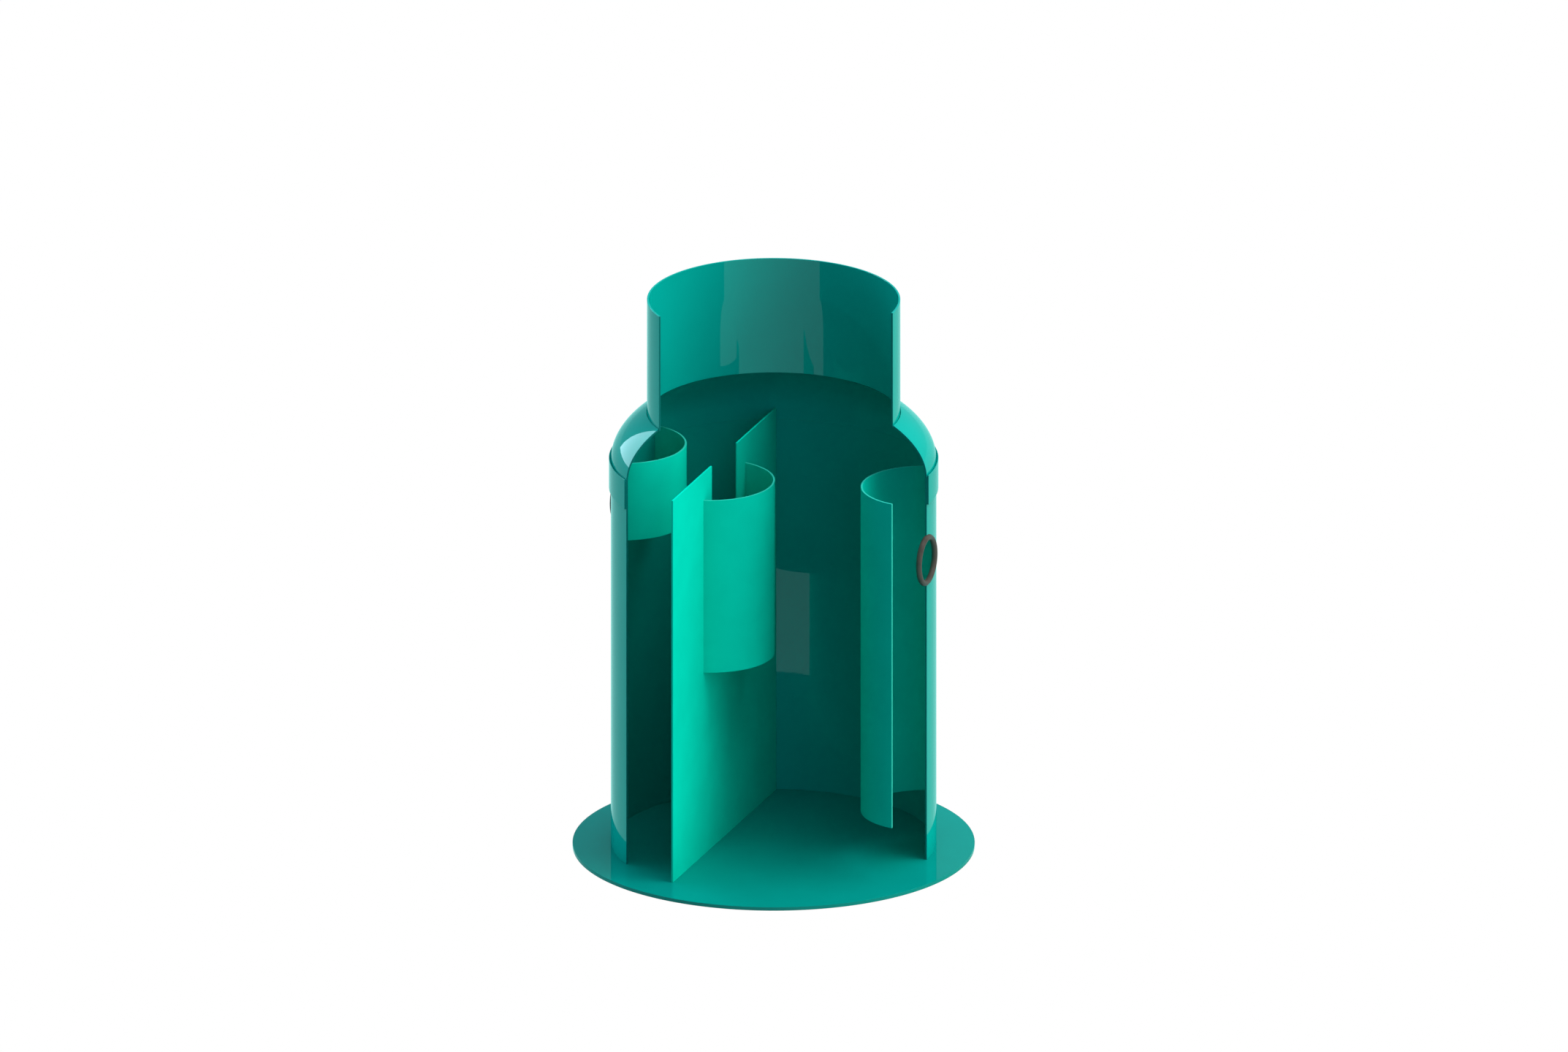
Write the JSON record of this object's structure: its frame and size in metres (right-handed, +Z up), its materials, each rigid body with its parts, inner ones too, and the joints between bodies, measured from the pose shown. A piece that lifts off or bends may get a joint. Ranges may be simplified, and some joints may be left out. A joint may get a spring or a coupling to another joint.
{
  "type": "cutaway grease trap",
  "caption": "Upright glass-fibre grease separator: domed tank on a round anchor plate, with a baffle, half-pipe deflectors and ring-sealed ports, its shell cut open at the front.",
  "frame": {"origin": "middle of the base plate's underside, on the tank's axis", "axes": "+Z up along the tank's axis, +X towards the outlet, -X towards the inlet, the missing wedge of the shell faces -Y"},
  "size_m": [1.5, 1.5, 2.1545],
  "materials": {
    "shell_gelcoat": "glossy teal-green gel-coat over glass-fibre laminate",
    "plate_gelcoat": "glossy teal-green gel-coat",
    "inner_gelcoat": "glossy teal-green gel-coat, a little more saturated",
    "seal_rubber": "satin dark brown rubber"
  },
  "bodies": {
    "root": {"base_plate": "plate_gelcoat", "tank_wall_1": "shell_gelcoat", "tank_wall_2": "shell_gelcoat", "tank_wall_3": "shell_gelcoat", "tank_wall_4": "shell_gelcoat", "tank_wall_5": "shell_gelcoat", "tank_wall_6": "shell_gelcoat", "tank_wall_7": "shell_gelcoat", "tank_wall_8": "shell_gelcoat", "joint_collar_1": "shell_gelcoat", "joint_collar_2": "shell_gelcoat", "joint_collar_3": "shell_gelcoat", "joint_collar_4": "shell_gelcoat", "joint_collar_5": "shell_gelcoat", "joint_collar_6": "shell_gelcoat", "dome_1": "shell_gelcoat", "dome_2": "shell_gelcoat", "dome_3": "shell_gelcoat", "dome_4": "shell_gelcoat", "dome_5": "shell_gelcoat", "dome_6": "shell_gelcoat", "neck_1": "shell_gelcoat", "neck_2": "shell_gelcoat", "neck_3": "shell_gelcoat", "neck_4": "shell_gelcoat", "neck_5": "shell_gelcoat", "neck_6": "shell_gelcoat", "baffle_lower": "inner_gelcoat", "baffle_upper_front": "inner_gelcoat", "baffle_upper_back": "inner_gelcoat", "baffle_half_pipe": "inner_gelcoat", "inlet_half_pipe": "inner_gelcoat", "outlet_half_pipe": "inner_gelcoat", "inlet_seal": "seal_rubber", "outlet_seal": "seal_rubber"}
  },
  "joints": []
}
